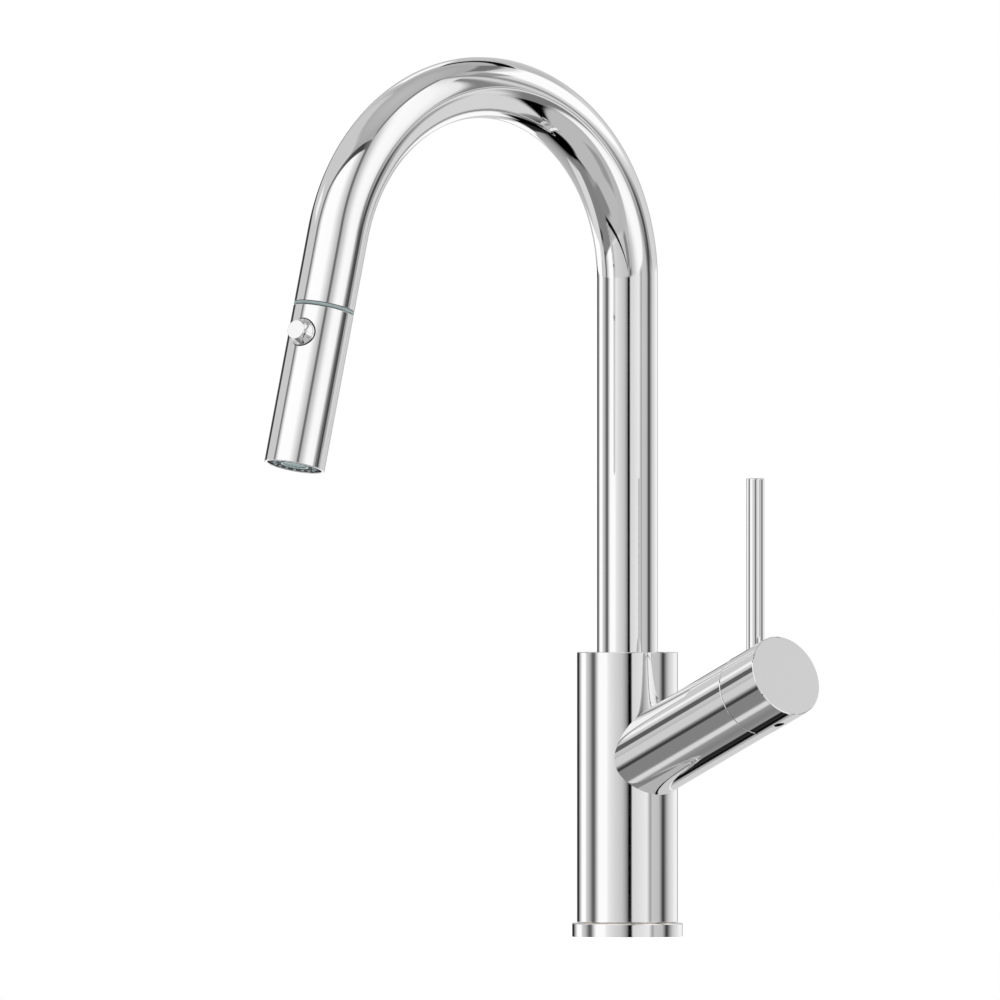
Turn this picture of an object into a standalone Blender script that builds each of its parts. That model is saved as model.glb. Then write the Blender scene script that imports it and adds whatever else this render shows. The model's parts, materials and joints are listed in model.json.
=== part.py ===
"""Single-lever kitchen tap with a gooseneck spout and a pull-down spray head.

Metres, +Z up. The origin is the centre of the base's underside, on the deck. The spout reaches towards -Y
and the handle's branch leans towards +X. Three local frames are used: the tap's own, the handle's (origin on
the lever's pivot, Z out along the branch, X to its underside) and the head's (origin where the arch ends,
Z along the head, X to the side the button is on).
"""

import math

import bmesh
import bpy
from mathutils import Matrix, Vector

# Clearances
GAP = 0.0003  # between two pieces that touch
RUN = 0.0004  # between two pieces that move past each other
CUT_PAST = 0.002  # cutters run this far past the faces they open

# How finely round pieces are made
SIDES, TUBE_SIDES, SMALL_SIDES, TINY_SIDES = 32, 24, 16, 8  # the outside, the spout, small pieces, nozzles
DOME_STEPS, BALL_STEPS = 5, 6  # on the cap's shields, and on the stem's ball and the cap's hollow
CUTTER_TURN = 0.3  # of a side, so that a cutter's edges don't fall on those of the piece it cuts
SHARP = math.radians(35)  # edges between faces at more than this angle are left crisp
ON_AXIS, MERGE = 1e-9, 1e-7

# Spout tube and its arch
TUBE_RADIUS = 0.015
TUBE_WALL = 0.001
ARC_RADIUS = 0.095
ARC_ANGLE = math.radians(166.26)
TUBE_RISE = 0.1834  # from the body's top to the start of the arch
TUBE_END = 0.037  # straight end after the arch, down to the seam
ARC_STEPS = 16

# Swivel: collar, bushes and washer round the foot of the tube
COLLAR_WALL = 0.0033
COLLAR_SKIRT = 0.0083  # length of the collar round the tube
COLLAR_FOOT = 0.008
COLLAR_LEDGE = 0.003  # how far the collar reaches in under the tube's end
BUSH_WALL = 0.0029
UPPER_BUSH = 0.0062
WASHER = 0.002

# Body and base
BODY_WALL = 0.0028
BODY_LIP = 0.004
BASE_EDGE = 0.0025  # how far the base ring stands out beyond the body
BASE_HEIGHT = 0.0068
EDGE = 0.0004  # small bevel on sharp chrome edges
BASE_BEVEL = 0.0008
GASKET_WIDTH, GASKET_HEIGHT = 0.0022, 0.0016
FIXING_HEIGHT = 0.018
FIXING_WAY = 0.014  # radius of the opening the hoses pass through
STUD_HOLE, STUD_DEPTH = 0.0025, 0.014

# Waterways
HOSE_RADIUS = 0.0045
HOSE_PLAY = 0.0007
PORT = 0.0028
PORT_Y, PORT_UP, PORT_DOWN = 0.0082, 0.003, 0.008
INLET_X, INLET_Y, OUTLET_X = 0.0035, 0.0089, 0.0115
INLET_BORE = 0.003
CORE_FLOOR = 0.027  # core block below the handle's axis
SEAT_INSET = 0.0018  # where the seat meets the core block, inside the body's bore
CORE_ROOF = 0.00018  # core block over the highest point of the cartridge seat
FITTING_LENGTH, FITTING_RADIUS, FITTING_BORE = 0.016, 0.0042, 0.0024
CONNECTOR_RADIUS, CONNECTOR_LENGTH = 0.0056, 0.014
CONNECTOR_TAIL, CONNECTOR_STEP = 0.7, 0.4  # the tail's radius and length as parts of the connector's
PORT_OVERLAP = 0.3  # a port runs past the upright bore it meets by this part of its radius

# Handle branch, cap and lever
HANDLE_HEIGHT = 0.0826  # where the branch's axis meets the body's axis
HANDLE_ANGLE = math.radians(21.3)
SPLIT = 0.1021  # along the branch's axis, from the body's axis
BRANCH_WALL = 0.00235
BRANCH_PLAY = 0.0007  # between the cartridge and the branch's bore
CAP_STEP = 0.0002  # the cap is this much larger in radius than the branch
CAP_LENGTH = 0.0264
CAP_LIP = 0.00075
PIVOT_DEPTH = 0.020  # lever's pivot behind the split
PIN_RADIUS = 0.00445
PIN_LENGTH = 0.0886
PIN_FOOT = 0.010  # along the branch's axis, from the split to where the pin's axis leaves the cap
PIN_SEAT_WALL = 0.0012
GRUB_RADIUS, GRUB_LENGTH, GRUB_PLACE = 0.0023, 0.008, 0.0131
GRUB_SOCKET, GRUB_SOCKET_DEPTH = 0.0012, 0.0025

# Cartridge, from the pivot down to its seat
CARTRIDGE_RADIUS = 0.0175
SLEEVE_WALL = 0.0029
ROTOR_RADIUS = 0.0115
ROTOR_TOP, ROTOR_BOTTOM = 0.006, -0.0104
SLOT_REACH = 0.0066
STEM_RADIUS = 0.0036
STEM_SOCKET = 0.0095  # depth of the stem in the cap
STEM_ARM = 0.0124  # pivot to the ball that shifts the disc
BALL_RADIUS = 0.002
NECK_RADIUS = 0.0013
STEM_TAPER = 0.001  # height of the cone between the stem and its neck, just over the rotor's foot
PIVOT_PIN = 0.0015
NECK_TOP, SHOULDER, NECK_WALL = 0.002, -0.0045, 0.0021
NECK_DEPTH, FUNNEL_DEPTH = 0.0070, 0.0108  # where the housing's neck ends inside and its bore begins
CARTRIDGE_NUT_TOP = 0.003
DOME_RADIUS = 0.0146
DOME_HOLE, DOME_FOOT = math.radians(38), math.radians(76.5)
SHELL = 0.0012  # wall of the dome ring and of the stem shield
LEVER_TILT = math.radians(20)
BALL_PLAY = 0.0005
DISC_HOLLOW = 0.0058  # radius of the mixing hollow under the moving disc
CARRIER, DISC, SEAL, PLATE = 0.0055, 0.004, 0.002, 0.0037  # thicknesses down to the seat

# Spray head
RING = 0.0014  # visible flange of the dock bush
HEAD_LENGTH = 0.079
HEAD_WALL = 0.0016
HEAD_TURN = math.radians(15)  # the head rests turned this far towards the handle's side
DOCK_LENGTH, DOCK_BORE = 0.020, 0.0076
HOSE_END = 0.018  # the hose stops this far above the seam
FERRULE_RADIUS, FERRULE_LENGTH, FERRULE_EDGE = 0.0062, 0.016, 0.0006
NIPPLE_NECK, NIPPLE_FLANGE, NIPPLE_BORE = 0.0052, 0.0072, 0.003
NUT_WALL, FLANGE, NIPPLE_SEAL = 0.002, 0.0015, 0.001
BUTTON_PLACE = 0.0142  # from the head's top edge to the button's axis
BUTTON_FACE, BUTTON_BASE = 0.00485, 0.0068
BUTTON_OUT = 0.0053  # the face's height above the head's surface
BUTTON_FLARE, BUTTON_EDGE = 0.0051, 0.0003
BUTTON_SINK = 0.0027
BUTTON_STEM, BUTTON_SPOOL = 0.002, 0.0185  # the stem's radius and length
BUTTON_TRAVEL = 0.002
BUTTON_POCKET = 0.0072  # depth of the spring's pocket under the button
BUTTON_OPENING = 0.002  # the shell's opening is cut from this far off the head's axis
BUTTON_SEAL = 0.001
SPRING_TURNS, SPRING_STEPS, SPRING_WIRE, SPRING_RADIUS = 4, 10, 0.0003, 0.0034
VALVE_RADIUS, VALVE_LENGTH, FILTER = 0.0040, 0.0036, 0.0006
WATER_BORE, SPRAY_BORE, SPRAY_PLACE = 0.002, 0.0015, 0.009
FACE_RECESS, FACE_PLATE, MAT, FACE_SEAL = 0.0009, 0.003, 0.0018, 0.001
NOZZLES, NOZZLE_RADIUS, NOZZLE_OUT = 16, 0.00085, 0.0007
AERATOR_RADIUS, AERATOR_WALL, AERATOR_LENGTH = 0.0070, 0.0011, 0.012
SCREEN, SCREEN_IN, INSERT = 0.0012, 0.0003, 0.003

# Worked out from the sizes above
BODY_BORE = TUBE_RADIUS + GAP + COLLAR_WALL + GAP + BUSH_WALL + GAP
BODY_RADIUS = BODY_BORE + BODY_WALL
INSIDE = BODY_BORE - GAP
BRANCH_BORE = CARTRIDGE_RADIUS + BRANCH_PLAY
BRANCH_RADIUS = BRANCH_BORE + BRANCH_WALL
CAP_RADIUS = BRANCH_RADIUS + CAP_STEP
SIN, COS = math.sin(HANDLE_ANGLE), math.cos(HANDLE_ANGLE)
PIVOT = Vector((COS, 0, SIN)) * (SPLIT - PIVOT_DEPTH) + Vector((0, 0, HANDLE_HEIGHT))
LIP_RADIUS = CAP_RADIUS - CAP_LIP
DISH = math.hypot(PIVOT_DEPTH + GAP, LIP_RADIUS)  # the cap's hollow, a sphere round the pivot
SLEEVE_BORE = CARTRIDGE_RADIUS - SLEEVE_WALL
DISC_TRAVEL = STEM_ARM * LEVER_TILT
DISC_RADIUS = SLEEVE_BORE - DISC_TRAVEL - RUN
CARRIER_TOP = ROTOR_BOTTOM - RUN
DISC_TOP = CARRIER_TOP - CARRIER - GAP
FIXED_TOP = DISC_TOP - DISC - GAP
SEAL_TOP = FIXED_TOP - DISC - GAP
PLATE_TOP = SEAL_TOP - SEAL - GAP
SEAT_TOP = PLATE_TOP - PLATE - GAP
POCKET = BODY_BORE - SEAT_INSET - (SPLIT - PIVOT_DEPTH)
SEAT_EXIT = (BODY_BORE + BRANCH_BORE * SIN) / COS  # where the branch bore's top line leaves the body's bore
CORE_TOP = HANDLE_HEIGHT + SEAT_EXIT * SIN + BRANCH_BORE * COS + CORE_ROOF
CORE_BOTTOM = HANDLE_HEIGHT - CORE_FLOOR
COLLAR_BOTTOM = CORE_TOP + GAP + WASHER + GAP
TUBE_BOTTOM = COLLAR_BOTTOM + COLLAR_FOOT
COLLAR_TOP = TUBE_BOTTOM + COLLAR_SKIRT
BODY_TOP = COLLAR_TOP + GAP + UPPER_BUSH + GAP + BODY_LIP
ARC_START = BODY_TOP + TUBE_RISE
HEAD_TOP = TUBE_END + GAP + RING + GAP
HEAD_BORE = TUBE_RADIUS - HEAD_WALL
HEAD_INSIDE = HEAD_BORE - GAP
FACE_Z = HEAD_TOP + HEAD_LENGTH - FACE_RECESS
BUTTON_Z = HEAD_TOP + BUTTON_PLACE
BUTTON_FACE_Z = TUBE_RADIUS + BUTTON_OUT
BUTTON_FOOT = BUTTON_FACE_Z - BUTTON_FLARE - BUTTON_SINK
POCKET_FLOOR = BUTTON_FOOT - BUTTON_POCKET
HEAD_NUT_Z = HEAD_TOP + GAP
FLANGE_Z = HEAD_NUT_Z + NUT_WALL + GAP
SEAL_Z = FLANGE_Z + FLANGE + GAP
WATER_TOP = SEAL_Z + NIPPLE_SEAL + GAP
PLATE_Z = FACE_Z - FACE_PLATE
MAT_Z = PLATE_Z - GAP - MAT
FACE_SEAL_Z = MAT_Z - GAP - FACE_SEAL
WATER_BOTTOM = FACE_SEAL_Z - GAP

FINISHES = {  # colour, roughness, metallic
    "chrome": ((0.78, 0.79, 0.80), 0.06, 1.0),
    "brass": ((0.72, 0.56, 0.30), 0.30, 1.0),
    "steel": ((0.56, 0.57, 0.58), 0.35, 1.0),
    "rubber": ((0.03, 0.03, 0.03), 0.80, 0.0),
    "ceramic": ((0.86, 0.85, 0.82), 0.25, 0.0),
    "grey_plastic": ((0.42, 0.47, 0.47), 0.45, 0.0),
    "white_plastic": ((0.80, 0.80, 0.78), 0.40, 0.0),
    "dark_plastic": ((0.05, 0.06, 0.06), 0.50, 0.0),
    "silicone": ((0.33, 0.37, 0.38), 0.60, 0.0),
    "hose_braid": ((0.30, 0.31, 0.32), 0.45, 0.6),
}


def clear_scene():
    for obj in list(bpy.data.objects):
        bpy.data.objects.remove(obj, do_unlink=True)


def finish(obj, kind):
    """Gives the piece its finish and smooth shading with crisp edges."""
    material = bpy.data.materials.get(kind)
    if material is None:
        material = bpy.data.materials.new(kind)
        material.use_nodes = True
        shader = material.node_tree.nodes["Principled BSDF"]
        colour, roughness, metallic = FINISHES[kind]
        shader.inputs["Base Color"].default_value = (*colour, 1)
        shader.inputs["Roughness"].default_value = roughness
        shader.inputs["Metallic"].default_value = metallic
    obj.data.materials.append(material)
    if obj.type == "MESH":
        obj.data.shade_smooth()
        obj.data.set_sharp_from_angle(angle=SHARP)
    return obj


def frame(name, matrix, parent=None):
    """An empty that carries a local frame or a joint's axis."""
    empty = bpy.data.objects.new(name, None)
    bpy.context.collection.objects.link(empty)
    empty.parent = parent
    empty.matrix_local = matrix
    return empty


def mesh_object(name, bm, parent):
    mesh = bpy.data.meshes.new(name)
    bmesh.ops.remove_doubles(bm, verts=bm.verts, dist=MERGE)
    bmesh.ops.recalc_face_normals(bm, faces=bm.faces)
    bm.to_mesh(mesh)
    bm.free()
    obj = bpy.data.objects.new(name, mesh)
    bpy.context.collection.objects.link(obj)
    obj.parent = parent
    return obj


def turn(outline, sides):
    """Spins an outline of (radius, height) points round Z, closing one that stays off the axis."""
    bm = bmesh.new()
    points = [bm.verts.new((r, 0, z)) for r, z in outline]
    lines = [bm.edges.new(pair) for pair in zip(points, points[1:])]
    if outline[0][0] > ON_AXIS:
        lines.append(bm.edges.new((points[-1], points[0])))
    bmesh.ops.spin(
        bm, geom=points + lines, cent=(0, 0, 0), axis=(0, 0, 1),
        angle=2 * math.pi, steps=sides, use_merge=True,
    )
    return bm


def turned(name, outline, kind, parent, sides=SMALL_SIDES):
    return finish(mesh_object(name, turn(outline, sides), parent), kind)


def ring(name, inner, outer, low, high, kind, parent, sides=SMALL_SIDES):
    outline = [(inner, low), (outer, low), (outer, high), (inner, high)]
    return turned(name, outline, kind, parent, sides)


def rod_outline(radius, low, high, bevel=0.0):
    if not bevel:
        return [(0, low), (radius, low), (radius, high), (0, high)]
    return [
        (0, low), (radius - bevel, low), (radius, low + bevel),
        (radius, high - bevel), (radius - bevel, high), (0, high),
    ]


def as_cutter(obj):
    obj.hide_render = True
    obj.display_type = "WIRE"
    return obj


def turned_cutter(name, outline, parent, sides=SMALL_SIDES):
    bm = turn(outline, sides)
    bmesh.ops.rotate(bm, verts=bm.verts, matrix=Matrix.Rotation(2 * math.pi / sides * CUTTER_TURN, 3, "Z"))
    return as_cutter(mesh_object(name, bm, parent))


def rod_cutter(name, radius, low, high, parent, place=(0, 0, 0), across=None, sides=SMALL_SIDES):
    """A round cutter along the parent's Z, or along X or Y where across names that axis."""
    obj = turned_cutter(name, rod_outline(radius, low, high), parent, sides)
    obj.location = place
    if across == "X":
        obj.rotation_euler = (0, math.radians(90), 0)
    elif across == "Y":
        obj.rotation_euler = (math.radians(-90), 0, 0)
    return obj


def combine(obj, other, operation="DIFFERENCE"):
    modifier = obj.modifiers.new(other.name, "BOOLEAN")
    modifier.object = other
    modifier.operation = operation
    modifier.solver = "EXACT"
    return obj


def cut(obj, *cutters):
    for cutter in cutters:
        combine(obj, cutter)
    return obj


def arc_points(radius, centre, start, end, steps):
    """Points (radius from the axis, height) on a circle about (0, centre), angles measured from the axis."""
    angles = [start + (end - start) * i / steps for i in range(steps + 1)]
    return [(max(radius * math.sin(a), 0.0), centre + radius * math.cos(a)) for a in angles]


def arc_end_direction():
    return Vector((0, -math.sin(ARC_ANGLE), math.cos(ARC_ANGLE)))


def hose_path(start, end, straight_steps=12):
    """Centre line of the spout from height start to the distance end past the arch."""
    points = [Vector((0, 0, start + (ARC_START - start) * i / straight_steps)) for i in range(straight_steps)]
    for i in range(ARC_STEPS + 1):
        a = ARC_ANGLE * i / ARC_STEPS
        points.append(Vector((0, -ARC_RADIUS * (1 - math.cos(a)), ARC_START + ARC_RADIUS * math.sin(a))))
    points.append(points[-1] + arc_end_direction() * end)
    return points


def drawn(bm, edges, shift):
    """Extrudes the edges by a shift and returns the new edges."""
    made = bmesh.ops.extrude_edge_only(bm, edges=edges)["geom"]
    bmesh.ops.translate(bm, verts=[g for g in made if isinstance(g, bmesh.types.BMVert)], vec=shift)
    return [g for g in made if isinstance(g, bmesh.types.BMEdge)]


def close_ring(bm, outer_edges, inner_edges):
    """Joins two loops of equal count, each point to the nearest of the other loop."""
    inner = {vert for edge in inner_edges for vert in edge.verts}
    for edge in outer_edges:
        a, b = edge.verts
        near_a, near_b = (min(inner, key=lambda v, p=p: (v.co - p.co).length) for p in (a, b))
        bm.faces.new((a, b, near_b, near_a))


def gooseneck(name, outer, inner, start, end, kind, parent, sides):
    """A tube with an open bore: straight up, round the arch and straight on, closed by a ring at each end."""
    bm = bmesh.new()
    ends = ([], [])
    for radius in (outer, inner):
        place = Matrix.Translation((0, 0, start))
        circle = bmesh.ops.create_circle(bm, cap_ends=False, segments=sides, radius=radius, matrix=place)
        edges = list({edge for vert in circle["verts"] for edge in vert.link_edges})
        ends[0].append(edges)
        edges = drawn(bm, edges, (0, 0, ARC_START - start))
        spun = bmesh.ops.spin(
            bm, geom=edges, cent=(0, -ARC_RADIUS, ARC_START), axis=(1, 0, 0), angle=ARC_ANGLE, steps=ARC_STEPS
        )
        edges = [g for g in spun["geom_last"] if isinstance(g, bmesh.types.BMEdge)]
        ends[1].append(drawn(bm, edges, arc_end_direction() * end))
    for outer_edges, inner_edges in ends:
        close_ring(bm, outer_edges, inner_edges)
    return finish(mesh_object(name, bm, parent), kind)


def curve_tube(name, points, radius, kind, parent, resolution=2):
    curve = bpy.data.curves.new(name, "CURVE")
    curve.dimensions = "3D"
    curve.bevel_depth = radius
    curve.bevel_resolution = resolution
    curve.render_resolution_u = 0
    curve.use_fill_caps = True
    spline = curve.splines.new("POLY")
    spline.points.add(len(points) - 1)
    for point, co in zip(spline.points, points):
        point.co = (*co, 1)
    obj = bpy.data.objects.new(name, curve)
    bpy.context.collection.objects.link(obj)
    obj.parent = parent
    return finish(obj, kind)


def make_base(tap):
    ring_radius = BODY_RADIUS + BASE_EDGE
    low, high = 0.0, BASE_HEIGHT
    middle = (BODY_BORE + ring_radius) / 2
    groove = GASKET_WIDTH / 2 + GAP
    depth = GASKET_HEIGHT + GAP
    corner = BASE_BEVEL * (1 - math.cos(math.radians(45)))
    turned("base_ring", [
        (BODY_BORE, low), (middle - groove, low), (middle - groove, depth), (middle + groove, depth),
        (middle + groove, low), (ring_radius, low), (ring_radius, high - BASE_BEVEL),
        (ring_radius - corner, high - corner), (ring_radius - BASE_BEVEL, high), (BODY_BORE, high),
    ], "chrome", tap, SIDES)
    ring(
        "base_gasket", middle - GASKET_WIDTH / 2, middle + GASKET_WIDTH / 2, low, GASKET_HEIGHT,
        "rubber", tap, SIDES,
    )
    fixing = ring("fixing_base", FIXING_WAY, INSIDE, GAP, FIXING_HEIGHT, "brass", tap, SIDES)
    stud_place = (FIXING_WAY + INSIDE) / 2
    for side in (1, -1):
        place = (0, side * stud_place, 0)
        cut(fixing, rod_cutter(f"stud_cutter_{side}", STUD_HOLE, -CUT_PAST, STUD_DEPTH, tap, place))


def make_body(tap, handle):
    """The outer body: a cylinder joined to the inclined branch, both bored out."""
    low, high = BASE_HEIGHT + GAP, BODY_TOP
    body = turned("body_shell", [
        (0, low), (BODY_RADIUS, low), (BODY_RADIUS, high - EDGE), (BODY_RADIUS - EDGE, high), (0, high),
    ], "chrome", tap, SIDES)
    # The branch's rim is rounded off inside the sphere that the cap's lip sweeps
    sweep = DISH - GAP
    rim = PIVOT_DEPTH - sweep_shoulder(sweep)
    branch = turned("branch_form", [
        (0, -(SPLIT - PIVOT_DEPTH)), (BRANCH_RADIUS, -(SPLIT - PIVOT_DEPTH)),
        (BRANCH_RADIUS, PIVOT_DEPTH - rim), (math.sqrt(sweep**2 - PIVOT_DEPTH**2), PIVOT_DEPTH),
        (0, PIVOT_DEPTH),
    ], "chrome", handle, SIDES)
    combine(body, as_cutter(branch), "UNION")
    cut(
        body,
        rod_cutter("body_bore", BODY_BORE, 0, BODY_TOP - BODY_LIP, tap, sides=SIDES),
        rod_cutter(
            "tube_hole", TUBE_RADIUS + GAP, BODY_TOP - 2 * BODY_LIP, BODY_TOP + CUT_PAST, tap, sides=SIDES
        ),
        rod_cutter(
            "branch_bore", BRANCH_BORE, POCKET - BODY_BORE / 2, PIVOT_DEPTH + CUT_PAST, handle, sides=SIDES
        ),
    )


def sweep_shoulder(sweep):
    """Where the swept sphere meets the branch's outside, along the branch from the pivot."""
    return math.sqrt(sweep**2 - BRANCH_RADIUS**2)


def make_waterways(tap, handle):
    core = turned("core_block", rod_outline(INSIDE, CORE_BOTTOM, CORE_TOP), "brass", tap, SIDES)
    seat_outline = rod_outline(BRANCH_BORE - GAP, POCKET + GAP, SEAT_TOP)
    seat = turned("cartridge_seat", seat_outline, "brass", handle, SIDES)
    cut(
        core,
        rod_cutter("seat_pocket", BRANCH_BORE, POCKET, PIVOT_DEPTH, handle, sides=SIDES),
        rod_cutter("hose_channel", HOSE_RADIUS + HOSE_PLAY, 0, BODY_TOP, tap),
    )
    ports = (
        ("hot", PORT_Y, -PORT_UP, INLET_X, INLET_Y),
        ("cold", -PORT_Y, -PORT_UP, INLET_X, -INLET_Y),
        ("outlet", 0, PORT_DOWN, OUTLET_X, 0),
    )
    for name, across, below, x, y in ports:
        # Height and place where the port, running down the branch, crosses the upright bore
        along = (x - below * SIN - PIVOT.x) / COS
        height = PIVOT.z + along * SIN - below * COS
        start = along - PORT * PORT_OVERLAP
        port = rod_cutter(f"{name}_port", PORT, start, PLATE_TOP + CUT_PAST, handle, (below, across, 0))
        well = rod_cutter(f"{name}_well", INLET_BORE, CORE_BOTTOM - CUT_PAST, height + PORT, tap, (x, y, 0))
        cut(core, port, well)
        cut(seat, port)
        fitting = ring(
            "mixed_outlet" if name == "outlet" else f"{name}_inlet", FITTING_BORE, FITTING_RADIUS,
            CORE_BOTTOM - GAP - FITTING_LENGTH, CORE_BOTTOM - GAP, "brass", tap,
        )
        fitting.location = (x, y, 0)


def make_swivel(tap, spout):
    """The spout's collar turns on the washer between two plastic bushes."""
    low = CORE_TOP + GAP
    ring("thrust_washer", HOSE_RADIUS + HOSE_PLAY, INSIDE, low, low + WASHER, "white_plastic", tap)
    collar = TUBE_RADIUS + GAP + COLLAR_WALL
    ring("lower_bush", collar + GAP, INSIDE, COLLAR_BOTTOM, COLLAR_TOP, "white_plastic", tap, SIDES)
    ring(
        "upper_bush", TUBE_RADIUS + GAP, INSIDE, COLLAR_TOP + GAP, COLLAR_TOP + GAP + UPPER_BUSH,
        "white_plastic", tap, SIDES,
    )
    bore = TUBE_RADIUS - COLLAR_LEDGE
    turned("spout_collar", [
        (bore, COLLAR_BOTTOM), (collar, COLLAR_BOTTOM), (collar, COLLAR_TOP), (TUBE_RADIUS + GAP, COLLAR_TOP),
        (TUBE_RADIUS + GAP, TUBE_BOTTOM - GAP), (bore, TUBE_BOTTOM - GAP),
    ], "brass", spout, SIDES)


def make_spout(spout, head):
    bore = TUBE_RADIUS - TUBE_WALL
    gooseneck("spout_tube", TUBE_RADIUS, bore, TUBE_BOTTOM, TUBE_END, "chrome", spout, TUBE_SIDES)
    inside = bore - GAP
    seam = TUBE_END + GAP
    turned("dock_bush", [
        (DOCK_BORE, TUBE_END - DOCK_LENGTH), (inside, TUBE_END - DOCK_LENGTH), (inside, seam),
        (TUBE_RADIUS, seam), (TUBE_RADIUS, seam + RING), (DOCK_BORE, seam + RING),
    ], "grey_plastic", head, SIDES)
    foot = GAP + CONNECTOR_LENGTH + GAP
    hose = hose_path(foot, TUBE_END - HOSE_END - GAP)
    curve_tube("spray_hose", hose, HOSE_RADIUS, "hose_braid", spout)
    tail, step = CONNECTOR_RADIUS * CONNECTOR_TAIL, GAP + CONNECTOR_LENGTH * CONNECTOR_STEP
    turned("hose_connector", [
        (0, GAP), (tail, GAP), (tail, step), (CONNECTOR_RADIUS, step + CONNECTOR_RADIUS - tail),
        (CONNECTOR_RADIUS, GAP + CONNECTOR_LENGTH), (0, GAP + CONNECTOR_LENGTH),
    ], "brass", spout)


def ports_through(obj, low, high, parent):
    places = (("hot", PORT_Y, -PORT_UP), ("cold", -PORT_Y, -PORT_UP), ("outlet", 0, PORT_DOWN))
    for name, across, below in places:
        place = (below, across, 0)
        cut(obj, rod_cutter(f"{obj.name}_{name}", PORT, low - CUT_PAST, high + CUT_PAST, parent, place))


def make_cartridge(handle):
    """The fixed pieces of the cartridge, from its seat up to the nut and the dome ring."""
    plate_outline = rod_outline(CARTRIDGE_RADIUS - GAP, PLATE_TOP - PLATE, PLATE_TOP)
    plate = turned("cartridge_plate", plate_outline, "dark_plastic", handle)
    inside = SLEEVE_BORE - RUN
    seal = turned("base_seal", rod_outline(inside, SEAL_TOP - SEAL, SEAL_TOP), "rubber", handle)
    disc = turned("fixed_disc", rod_outline(inside, FIXED_TOP - DISC, FIXED_TOP), "ceramic", handle)
    for piece in (plate, seal, disc):
        ports_through(piece, PLATE_TOP - PLATE, FIXED_TOP, handle)
    neck_outer = ROTOR_RADIUS + RUN + NECK_WALL
    turned("cartridge_housing", [
        (SLEEVE_BORE, PLATE_TOP + GAP), (CARTRIDGE_RADIUS, PLATE_TOP + GAP), (CARTRIDGE_RADIUS, SHOULDER),
        (neck_outer, SHOULDER), (neck_outer, NECK_TOP), (ROTOR_RADIUS + RUN, NECK_TOP),
        (ROTOR_RADIUS + RUN, -NECK_DEPTH), (SLEEVE_BORE, -FUNNEL_DEPTH),
    ], "white_plastic", handle, SIDES)
    ring(
        "cartridge_nut", neck_outer + GAP, BRANCH_BORE - GAP, SHOULDER + GAP, CARTRIDGE_NUT_TOP,
        "brass", handle, SIDES,
    )
    outer = arc_points(DOME_RADIUS + SHELL, 0, DOME_HOLE, DOME_FOOT, DOME_STEPS)
    inner = arc_points(DOME_RADIUS, 0, DOME_FOOT, DOME_HOLE, DOME_STEPS)
    turned("dome_ring", outer + inner, "chrome", handle, TUBE_SIDES)


def make_rotor(turning):
    """Turns with the lever to set the temperature, and carries the lever's pivot pin."""
    rotor = turned("rotor", rod_outline(ROTOR_RADIUS, ROTOR_BOTTOM, ROTOR_TOP), "dark_plastic", turning)
    slot = bmesh.new()
    bmesh.ops.create_cube(slot, size=1.0)
    height = 2 * (ROTOR_TOP - ROTOR_BOTTOM)
    bmesh.ops.scale(slot, verts=slot.verts, vec=(2 * SLOT_REACH, 2 * (STEM_RADIUS + RUN), height))
    past = 2 * ROTOR_RADIUS
    cut(
        rotor,
        as_cutter(mesh_object("stem_slot", slot, turning)),
        rod_cutter("pin_bore", PIVOT_PIN + GAP, -past, past, turning, across="Y"),
    )
    half = ROTOR_RADIUS - RUN
    pin = turned("pivot_pin", rod_outline(PIVOT_PIN, -half, half), "steel", turning)
    pin.rotation_euler = (math.radians(-90), 0, 0)


def make_moving_disc(sliding):
    turned("moving_disc", [
        (0, DISC_TOP - DISC / 2), (DISC_HOLLOW, DISC_TOP - DISC / 2), (DISC_HOLLOW, DISC_TOP - DISC),
        (DISC_RADIUS, DISC_TOP - DISC), (DISC_RADIUS, DISC_TOP), (0, DISC_TOP),
    ], "ceramic", sliding)
    hole = BALL_RADIUS + BALL_PLAY
    ring("disc_carrier", hole, DISC_RADIUS, CARRIER_TOP - CARRIER, CARRIER_TOP, "dark_plastic", sliding)


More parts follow.
